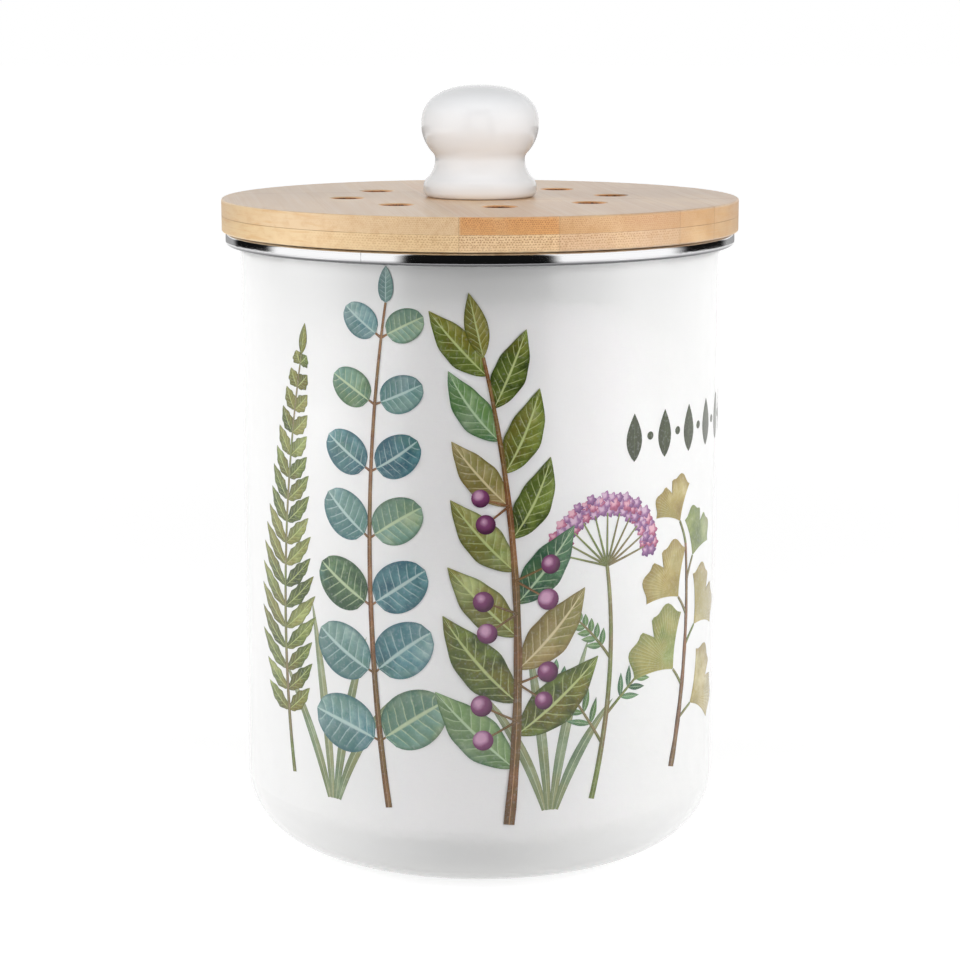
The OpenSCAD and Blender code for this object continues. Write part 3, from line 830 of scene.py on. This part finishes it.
def leaf(base, heading, length, width, material, layer, tone, outline="lance", bend=0.0, wavy=0.0,
         columns=16, rows=6):
    # heading in degrees, 90 is straight up; bend turns the leaf along its length
    profile = outlines[outline]

    def shape(along, across):
        turn = math.radians(heading + bend * along / 2)
        spine = stepOff(base, turn, length * along)
        half = width / 2 * max(leastWidth, profile(min(along, 0.9999)))
        half *= 1 + wavy * math.sin(along * 21 + across)
        return stepOff(spine, math.radians(heading + bend * along + 90), across * half)
    return gridShape(columns, rows, shape, material, layer, tone)


def fan(base, heading, length, spread, material, layer, tone):
    def shape(along, across):
        edge = 1 + 0.05 * math.cos(across * 11) - 0.34 * math.exp(-(across / 0.10) ** 2) * along
        droop = 1 - 0.16 * abs(across) ** 3
        reach = length * (0.02 + 0.98 * along) * edge * droop
        turn = math.radians(heading + across * spread / 2 * (0.72 + 0.28 * along))
        return stepOff(base, turn, reach)
    return gridShape(12, 30, shape, material, layer, tone)


def curvePoint(curve, t):
    # the place on a curve of start, pull and end, and its heading there in degrees
    start, pull, end = curve
    side = (1 - t) ** 2 * start[0] + 2 * t * (1 - t) * pull[0] + t * t * end[0]
    up = (1 - t) ** 2 * start[1] + 2 * t * (1 - t) * pull[1] + t * t * end[1]
    runSide = 2 * (1 - t) * (pull[0] - start[0]) + 2 * t * (end[0] - pull[0])
    runUp = 2 * (1 - t) * (pull[1] - start[1]) + 2 * t * (end[1] - pull[1])
    return (side, up), math.degrees(math.atan2(runUp, runSide))


def moved(curve, at):
    return tuple((at + side, up) for side, up in curve)


def stem(curve, widths, material, layer, tone=0.5, knobbly=0.0):
    # widths: at the foot and at the tip
    def shape(along, across):
        spine, heading = curvePoint(curve, along)
        half = between(*widths, along) / 2
        half *= 1 + knobbly * math.sin(along * 40)
        return stepOff(spine, math.radians(heading + 90), across * half)
    return gridShape(26, 2, shape, material, layer, tone)


def stalk(start, end, widths, material, layer, sag=0.0):
    middle = ((start[0] + end[0]) / 2 + sag, (start[1] + end[1]) / 2)
    return stem((start, middle, end), widths, material, layer)


def printMaterial(name):
    material, tree, shader = newMaterial(name, Roughness=0.2, Coat_Weight=0.3, Coat_Roughness=0.06)
    tone = addNode(tree, "ShaderNodeAttribute")
    tone.attribute_name = "tone"
    return material, tree, shader, tone.outputs["Fac"]


paintGrain = {"pool": 150, "stain": 62, "grit": 1100, "dab": 260, "depth": 0.00001}


def leafPaint(name, deep, mid, pale, stain, veins=8.0, slant=1.6, radial=False, veinStrength=0.55,
              halfShade=0.38):
    # a wash that pools and fades, with veins left pale
    material, tree, shader, tone = printMaterial(name)
    deep, mid, pale, stain = srgb(*deep), srgb(*mid), srgb(*pale), srgb(*stain)
    place = coords(tree)
    along, side = split(tree, coords(tree, kind="UV"))[:2]
    across = calc(tree, "MULTIPLY_ADD", side, 2.0, -1.0)
    off = calc(tree, "ABSOLUTE", across)
    pool = noise(tree, place, paintGrain["pool"], 4, 0.6)
    wash = calc(tree, "MULTIPLY_ADD", tone, 0.45, calc(tree, "MULTIPLY_ADD", pool, 0.9, -0.18))
    wash = calc(tree, "ADD", wash, calc(tree, "MULTIPLY_ADD", along, 0.16, -0.08))
    colour = ramp(tree, wash, [(0.22, deep), (0.48, mid), (0.80, pale)])
    drift = calc(tree, "MULTIPLY_ADD", tone, 0.25, noise(tree, place, paintGrain["stain"], 3, 0.6))
    colour = blendColour(tree, fade(tree, drift, 0.52, 0.74, 0.0, 0.65), colour, stain)

    if radial:
        count = calc(tree, "MULTIPLY", side, veins)
    else:
        count = calc(tree, "MULTIPLY_ADD", along, veins, calc(tree, "MULTIPLY", off, -slant))
    phase = calc(tree, "FRACT", calc(tree, "MULTIPLY_ADD", pool, 0.5, count))
    colour = blendColour(tree, fade(tree, phase, 0.0, 1.0, 0.30, 0.0), colour, deep)
    vein = fade(tree, calc(tree, "ABSOLUTE", calc(tree, "SUBTRACT", phase, 0.5)), 0.400, 0.485)
    atEdge = veinStrength if radial else 0.0
    vein = calc(tree, "MULTIPLY", vein, fade(tree, off, 0.55, 0.95, veinStrength, atEdge))
    if radial:
        rim = fade(tree, along, 0.72, 1.0, 0.0, 0.45)
    else:
        colour = blendColour(tree, fade(tree, across, -0.05, 0.05, 0.0, halfShade), colour, deep)
        vein = calc(tree, "MAXIMUM", vein, fade(tree, off, 0.03, 0.10, 0.85, 0.0))
        rim = fade(tree, off, 0.80, 1.0, 0.0, 0.55)
    colour = blendColour(tree, vein, colour, pale)
    colour = blendColour(tree, rim, colour, deep)
    grit = fade(tree, noise(tree, place, paintGrain["grit"], 2), 0.5, 0.8, 0.0, 0.10)
    colour = blendColour(tree, grit, colour, grey(1))
    wire(tree, shader, Base_Color=colour, Normal=bump(tree, pool, paintGrain["depth"]))
    return material


def dabPaint(name, deep, mid, pale):
    # berries and petals: a round dab, paler where the light falls
    material, tree, shader, tone = printMaterial(name)
    x, y = split(tree, coords(tree, kind="UV"))[:2]
    fromLight = vectorCalc(tree, "DISTANCE", joinUp(tree, x, y, 0.0), (0.38, 0.64, 0))
    pool = noise(tree, coords(tree), paintGrain["dab"], 3)
    wash = calc(tree, "MULTIPLY_ADD", pool, 0.5, calc(tree, "MULTIPLY_ADD", tone, -0.4, -0.1))
    wash = calc(tree, "ADD", calc(tree, "MULTIPLY", fromLight, 1.5), wash)
    colour = ramp(tree, wash, [(0.12, srgb(*pale)), (0.42, srgb(*mid)), (0.9, srgb(*deep))])
    wire(tree, shader, Base_Color=colour, Normal=bump(tree, pool, paintGrain["depth"]))
    return material


paints = {
    "fern": leafPaint("fernGreen", (52, 68, 30), (112, 128, 56), (182, 194, 120), (134, 118, 50), veins=6),
    "silver": leafPaint("silverTeal", (44, 88, 102), (104, 152, 156), (186, 210, 206), (92, 132, 112),
                        veins=7, slant=1.0),
    "silverGreen": leafPaint("silverGreen", (54, 84, 58), (120, 152, 106), (194, 210, 170), (104, 152, 150),
                             veins=7, slant=1.0),
    "laurel": leafPaint("laurelGreen", (54, 68, 26), (124, 142, 62), (196, 206, 140), (138, 118, 44),
                        veins=9),
    "laurelOld": leafPaint("laurelOld", (104, 84, 42), (172, 152, 98), (222, 208, 164), (126, 130, 66),
                           veins=9),
    "laurelCool": leafPaint("laurelCool", (40, 78, 54), (100, 148, 104), (188, 210, 172), (116, 148, 72),
                            veins=9),
    "gold": leafPaint("fanGold", (126, 104, 48), (182, 164, 96), (222, 210, 162), (150, 142, 78),
                      veins=26, radial=True),
    "fanGreen": leafPaint("fanGreen", (84, 104, 46), (146, 160, 90), (206, 208, 154), (176, 158, 92),
                          veins=26, radial=True),
    "sage": leafPaint("bladeSage", (92, 114, 88), (140, 158, 122), (192, 202, 172), (150, 146, 92),
                      veins=3, veinStrength=0.2),
    "twig": leafPaint("twigBrown", (84, 50, 32), (138, 92, 56), (192, 150, 106), (104, 96, 52),
                      veins=5, veinStrength=0.15),
    "greenStem": leafPaint("stemGreen", (80, 94, 46), (126, 140, 78), (176, 186, 128), (150, 104, 92),
                           veins=3, veinStrength=0.1),
    "plum": dabPaint("berryPlum", (74, 32, 62), (128, 66, 108), (206, 160, 190)),
    "mauve": dabPaint("petalMauve", (112, 74, 122), (160, 112, 156), (214, 182, 206)),
    "rose": dabPaint("petalRose", (140, 62, 96), (186, 108, 138), (226, 178, 194)),
    "darkGreen": leafPaint("borderGreen", (46, 54, 30), (60, 68, 42), (74, 84, 54), (56, 62, 40),
                           veins=2, veinStrength=0.0, halfShade=0.1),
}
print("paints mixed:", len(paints))

# in the shapes below a curve is start, pull and end, each (side, up), and widths run from foot to tip;
# "from" and "over" give the share of the stem where the first leaf stands and how far the last is past it
fernShape = {"curve": ((0, 0.033), (-0.010, 0.095), (0.006, 0.168)), "stem": (0.0016, 0.0005),
             "pairs": 17, "from": 0.16, "over": 0.82, "long": 0.0225, "short": 0.003, "wide": 0.0052,
             "angle": 66, "closing": 22, "bend": 16, "tip": (0.010, 0.0034)}


def fernSprig(at, dice):
    shape = fernShape
    curve = moved(shape["curve"], at)
    parts = [stem(curve, shape["stem"], paints["greenStem"], 5)]
    for pair in range(shape["pairs"]):
        t = shape["from"] + shape["over"] * pair / (shape["pairs"] - 1)
        point, heading = curvePoint(curve, t)
        length = shape["long"] * (1 - t) ** 0.75 * min(1, (t + 0.10) * 2.2) + shape["short"]
        for sign in (-1, 1):
            turn = heading + sign * (shape["angle"] - shape["closing"] * t)
            parts.append(leaf(point, turn, length * dice.uniform(0.93, 1.07), shape["wide"], paints["fern"],
                              1 + pair % 2, dice.uniform(0.1, 0.9), bend=-sign * shape["bend"], wavy=0.12,
                              columns=12, rows=4))
    parts.append(leaf(curve[2], 80, *shape["tip"], paints["fern"], 4, 0.6))
    return parts


eucalyptusShape = {"curve": ((0.004, 0.028), (-0.008, 0.11), (0.004, 0.186)), "stem": (0.0021, 0.0007),
                   "pairs": 7, "from": 0.13, "over": 0.80, "long": 0.0245, "shrink": 0.0125,
                   "fullness": 0.84, "angles": (52, 64), "stalkLength": 0.0022, "stalk": (0.0009, 0.0006),
                   "tip": (0.011, 0.007)}


def eucalyptusSprig(at, dice):
    shape = eucalyptusShape
    curve = moved(shape["curve"], at)
    parts = [stem(curve, shape["stem"], paints["twig"], 6, 0.6)]
    for pair in range(shape["pairs"]):
        t = shape["from"] + shape["over"] * pair / (shape["pairs"] - 1)
        point, heading = curvePoint(curve, t)
        length = shape["long"] - shape["shrink"] * t
        for sign in (-1, 1):
            turn = heading + sign * dice.uniform(*shape["angles"])
            base = stepOff(point, math.radians(turn), shape["stalkLength"])
            parts.append(stalk(point, base, shape["stalk"], paints["twig"], 5))
            paint = paints["silverGreen" if (pair + (sign > 0)) % 3 == 0 else "silver"]
            layer = 1 + pair % 3 + (sign > 0)
            parts.append(leaf(base, turn, length, length * shape["fullness"], paint, layer,
                              dice.uniform(0.0, 0.95), outline="oval", bend=sign * dice.uniform(-14, 10),
                              columns=18, rows=8))
    point, heading = curvePoint(curve, 1.0)
    parts.append(leaf(point, heading + 8, *shape["tip"], paints["silver"], 5, 0.8, outline="egg"))
    return parts


laurelShape = {"curve": ((0.006, 0.024), (0.014, 0.10), (-0.002, 0.170)), "stem": (0.0034, 0.0010),
               "leaves": 13, "from": 0.12, "over": 0.84, "long": 0.037, "shrink": 0.013, "vary": 0.002,
               "fullness": 0.40, "angle": 56, "closing": 22, "bends": (6, 24), "tip": (0.020, 0.0072),
               "colours": ("laurelCool", "laurel", "laurel", "laurelOld", "laurel"),
               # pairs of berries: the share of the stem, the side and how far out
               "berries": ((0.22, 1, 0.012), (0.30, -1, 0.010), (0.45, 1, 0.011), (0.52, -1, 0.012),
                           (0.68, 1, 0.009)),
               "berrySizes": (0.0027, 0.0034), "stalk": (0.0008, 0.0006)}


def laurelSprig(at, dice):
    shape = laurelShape
    curve = moved(shape["curve"], at)
    parts = [stem(curve, shape["stem"], paints["twig"], 7, knobbly=0.07)]
    for step in range(shape["leaves"]):
        t = shape["from"] + shape["over"] * step / (shape["leaves"] - 1)
        point, heading = curvePoint(curve, t)
        sign = -1 if step % 2 else 1
        length = shape["long"] - shape["shrink"] * t + dice.uniform(-shape["vary"], shape["vary"])
        turn = heading + sign * (shape["angle"] - shape["closing"] * t)
        paint = paints[shape["colours"][step % len(shape["colours"])]]
        parts.append(leaf(point, turn, length, length * shape["fullness"], paint, 1 + step % 4,
                          dice.uniform(0.05, 0.95), bend=-sign * dice.uniform(*shape["bends"]), wavy=0.03,
                          columns=22, rows=8))
    point, heading = curvePoint(curve, 1.0)
    parts.append(leaf(point, heading, *shape["tip"], paints["laurel"], 5, 0.7, columns=18, rows=8))
    for t, sign, reach in shape["berries"]:
        point, heading = curvePoint(curve, t)
        for spread in (-0.5, 0.45):
            turn = math.radians(heading + sign * 96) + spread
            size = dice.uniform(*shape["berrySizes"])
            stalkEnd = stepOff(point, turn, reach - size * 0.9)
            parts.append(stalk(point, stalkEnd, shape["stalk"], paints["twig"], 8))
            middle = stepOff(point, turn, reach)
            parts.append(roundShape(middle, size, paints["plum"], 9, dice.uniform(0.1, 0.9)))
    return parts


umbelShape = {"curve": ((-0.004, 0.030), (0.006, 0.07), (0.001, 0.104)), "stem": (0.0019, 0.0012),
              "rays": 11, "firstTurn": 18, "openTurn": 144, "rayLength": 0.0175, "crown": 0.0035,
              "squash": 0.92,
              "ray": (0.0008, 0.0005), "rayShare": 0.86, "petals": 6, "petalRing": 0.0026,
              "petalSizes": (0.0014, 0.0019),
              # fronds: the share of the stem, the side and the length
              "fronds": ((0.22, 1, 0.030), (0.34, -1, 0.027), (0.58, 1, 0.020)), "frondAngle": 44,
              "frond": (0.0010, 0.0005), "leaflets": 6, "leafletAngle": 46, "leafletWide": 0.0021}


def umbelFronds(shape, curve, dice):
    parts = []
    for t, sign, size in shape["fronds"]:
        point, heading = curvePoint(curve, t)
        tip = stepOff(point, math.radians(heading + sign * shape["frondAngle"]), size)
        frond = (point, ((point[0] + tip[0]) / 2, (point[1] + tip[1]) / 2 + 0.002), tip)
        parts.append(stem(frond, shape["frond"], paints["greenStem"], 5))
        for step in range(shape["leaflets"]):
            along = 0.25 + 0.72 * step / (shape["leaflets"] - 1)
            spot, way = curvePoint(frond, along)
            length = size * 0.30 * (1.1 - along * 0.6)
            for side in (-1, 1):
                turn = way + side * shape["leafletAngle"]
                parts.append(leaf(spot, turn, length, shape["leafletWide"], paints["laurelCool"],
                                  2 + step % 2, dice.uniform(0, 0.9), columns=10, rows=4))
    return parts


def umbelSprig(at, dice):
    shape = umbelShape
    curve = moved(shape["curve"], at)
    parts = [stem(curve, shape["stem"], paints["greenStem"], 6)]
    top, lastRay = curve[2], shape["rays"] - 1
    for ray in range(shape["rays"]):
        turn = math.radians(shape["firstTurn"] + shape["openTurn"] * ray / lastRay)
        reach = shape["rayLength"] + shape["crown"] * math.sin(math.pi * ray / lastRay)
        end = (top[0] + reach * math.cos(turn), top[1] + reach * shape["squash"] * math.sin(turn))
        rayEnd = tuple(between(low, high, shape["rayShare"]) for low, high in zip(top, end))
        parts.append(stalk(top, rayEnd, shape["ray"], paints["greenStem"], 4))
        # a ring of petals and one more in its middle
        for petal in range(shape["petals"] + 1):
            out = 0.0 if petal == shape["petals"] else shape["petalRing"]
            middle = stepOff(end, math.tau * petal / shape["petals"] + ray, out)
            paint = paints["mauve"] if (petal + ray) % 3 else paints["rose"]
            parts.append(roundShape(middle, dice.uniform(*shape["petalSizes"]), paint, 1 + petal % 3,
                                    dice.uniform(0.1, 1.0), lobes=5, sides=20))
    return parts + umbelFronds(shape, curve, dice)


fanShape = {"curve": ((-0.006, 0.034), (0.005, 0.072), (0.001, 0.106)), "stem": (0.0026, 0.0010),
            # leaves: the share of the stem, the side and the size
            "leaves": ((0.20, -1, 0.021), (0.34, 1, 0.022), (0.52, -1, 0.020), (0.66, 1, 0.019),
                       (0.82, -1, 0.016), (1.0, 1, 0.015)),
            "angle": 58, "closing": 34, "vary": 5, "stalkLength": 0.0085, "stalk": (0.0011, 0.0008),
            "sag": 0.0006, "spread": 104}


def fanSprig(at, dice):
    shape = fanShape
    curve = moved(shape["curve"], at)
    parts = [stem(curve, shape["stem"], paints["twig"], 6, 0.4, knobbly=0.08)]
    for index, (t, sign, size) in enumerate(shape["leaves"]):
        point, heading = curvePoint(curve, t)
        turn = heading + sign * (shape["angle"] - shape["closing"] * t)
        turn += dice.uniform(-shape["vary"], shape["vary"])
        base = stepOff(point, math.radians(turn), shape["stalkLength"])
        parts.append(stalk(point, base, shape["stalk"], paints["greenStem"], 5, sag=shape["sag"] * sign))
        paint = paints["gold"] if index % 3 != 1 else paints["fanGreen"]
        parts.append(fan(base, turn, size, shape["spread"], paint, 1 + index % 4, dice.uniform(0.1, 0.9)))
    return parts


# blades: how far each leans, in degrees, and how tall it is
bladeShape = {"blades": ((-15, 0.046), (-4, 0.060), (7, 0.052), (17, 0.040)), "gap": 0.0012, "foot": 0.028,
              "wide": 0.0033}


def bladeTuft(at, dice):
    parts = []
    for index, (lean, tall) in enumerate(bladeShape["blades"]):
        base = (at + bladeShape["gap"] * (index - 1.5), bladeShape["foot"])
        length = tall * dice.uniform(0.92, 1.08)
        parts.append(leaf(base, 90 - lean, length, bladeShape["wide"], paints["sage"], 1 + index,
                          dice.uniform(0.1, 0.9), outline="blade", bend=-lean * 1.6, columns=18, rows=4))
    return parts


# a plain row of lozenges and dots
borderShape = {"count": 6, "gap": 0.0135, "foot": 0.1355, "lozenge": (0.0150, 0.0062), "dot": 0.0013,
               "dotUp": 0.143}


def borderRow(at, dice):
    shape = borderShape
    parts = []
    for index in range(shape["count"]):
        side = at + index * shape["gap"]
        parts.append(leaf((side, shape["foot"]), 90, *shape["lozenge"], paints["darkGreen"], 1, 0.5,
                          columns=14, rows=4))
        if index < shape["count"] - 1:
            middle = (side + shape["gap"] / 2, shape["dotUp"])
            parts.append(roundShape(middle, shape["dot"], paints["darkGreen"], 1, 0.5, sides=20))
    return parts


# "under" counts the layers left free below a sprig, so that no two neighbours share one
sprigs = {
    "fern": {"make": fernSprig, "at": -0.067, "seed": 3, "under": 4},
    "eucalyptus": {"make": eucalyptusSprig, "at": -0.033, "seed": 5, "under": 9},
    "laurel": {"make": laurelSprig, "at": 0.003, "seed": 8, "under": 15},
    "umbel": {"make": umbelSprig, "at": 0.040, "seed": 13, "under": 4},
    "fan_leaves": {"make": fanSprig, "at": 0.076, "seed": 21, "under": 10},
    "blades_left": {"make": bladeTuft, "at": -0.049, "seed": 34, "under": 0},
    "blades_right": {"make": bladeTuft, "at": 0.022, "seed": 55, "under": 0},
    "border": {"make": borderRow, "at": 0.051, "seed": 89, "under": 4},
}
printSides = {"front": 0.0, "back": math.pi * wall["radius"]}


def printSprig(name, sprig, word, shift):
    deselectAll()
    parts = sprig["make"](sprig["at"] + shift, random.Random(sprig["seed"]))
    for part in parts:
        part.select_set(True)
    bpy.context.view_layer.objects.active = parts[0]
    bpy.ops.object.join()
    printed = bpy.context.object
    printed.name = "print_" + name + "_" + word
    grown = 1 + sprig["under"] * wall["layerStep"] / wall["radius"]
    for vertex in printed.data.vertices:
        vertex.co = (vertex.co.x * grown, vertex.co.y * grown, vertex.co.z)
    coat = printed.modifiers.new("coat", "SOLIDIFY")
    coat.thickness = wall["thickness"]
    coat.offset = -1  # grows inwards, so the coat ends inside the wall
    bpy.ops.object.modifier_apply(modifier="coat")
    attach(printed, "canister")
    return printed


prints = []
for name, sprig in sprigs.items():
    prints += [printSprig(name, sprig, word, shift) for word, shift in printSides.items()]
    print("printed:", name)

# the knob is the one piece that the tall side boxes leave out
litPieces = {"pot": [canNodes["canister"], rim] + prints,
             "lid": [canNodes[name] for name in lidNodes] + [knob],
             "knob": [knob], "notKnob": [knob]}
for group, pieces in litPieces.items():
    for piece in pieces:
        litBy[group].objects.link(piece)
litBy["notKnob"].collection_objects[0].light_linking.link_state = "EXCLUDE"
print("lamps linked")
